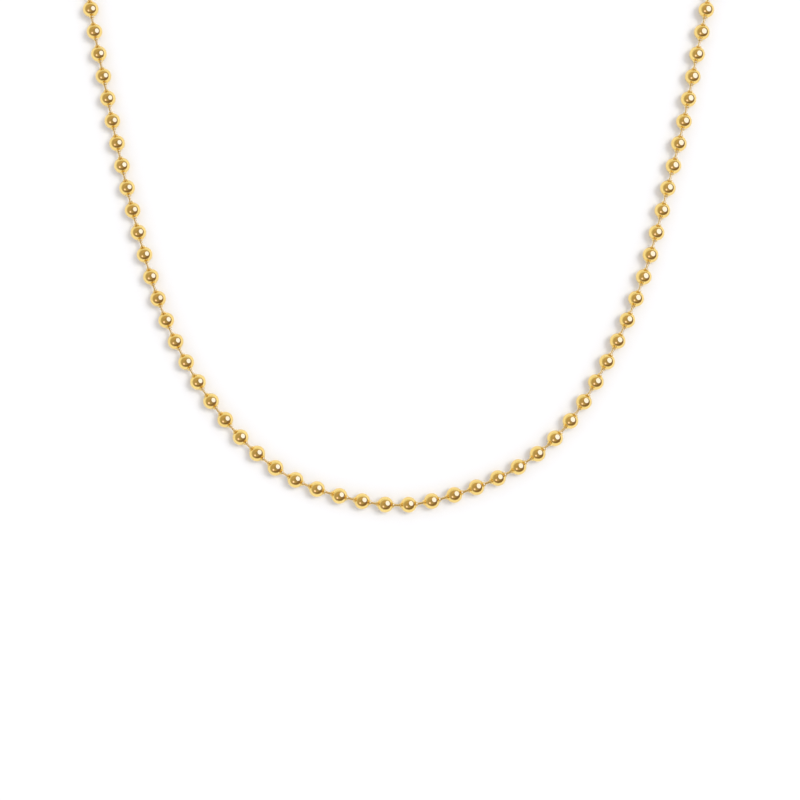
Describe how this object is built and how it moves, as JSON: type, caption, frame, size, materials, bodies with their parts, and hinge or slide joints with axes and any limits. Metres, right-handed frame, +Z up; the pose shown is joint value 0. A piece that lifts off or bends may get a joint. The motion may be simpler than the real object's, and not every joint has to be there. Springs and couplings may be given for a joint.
{
  "type": "ball chain necklace",
  "caption": "Gold coloured ball chain necklace lying flat in a closed loop: hollow balls on short wire links, joined at the back by a small open sleeve.",
  "frame": {"origin": "centre of the loop's outline, on the surface that the chain lies on", "axes": "+Z up from that surface, +Y from the front of the loop to the connector at the back of the neck, +X to the right seen from above"},
  "size_m": [0.1222, 0.1727, 0.0038],
  "materials": {
    "gold_balls": "polished, gold plated",
    "gold_wire": "polished, gold plated",
    "gold_connector": "polished, gold plated"
  },
  "bodies": {
    "root": {"balls": "gold_balls", "links": "gold_wire", "connector": "gold_connector"}
  },
  "joints": []
}
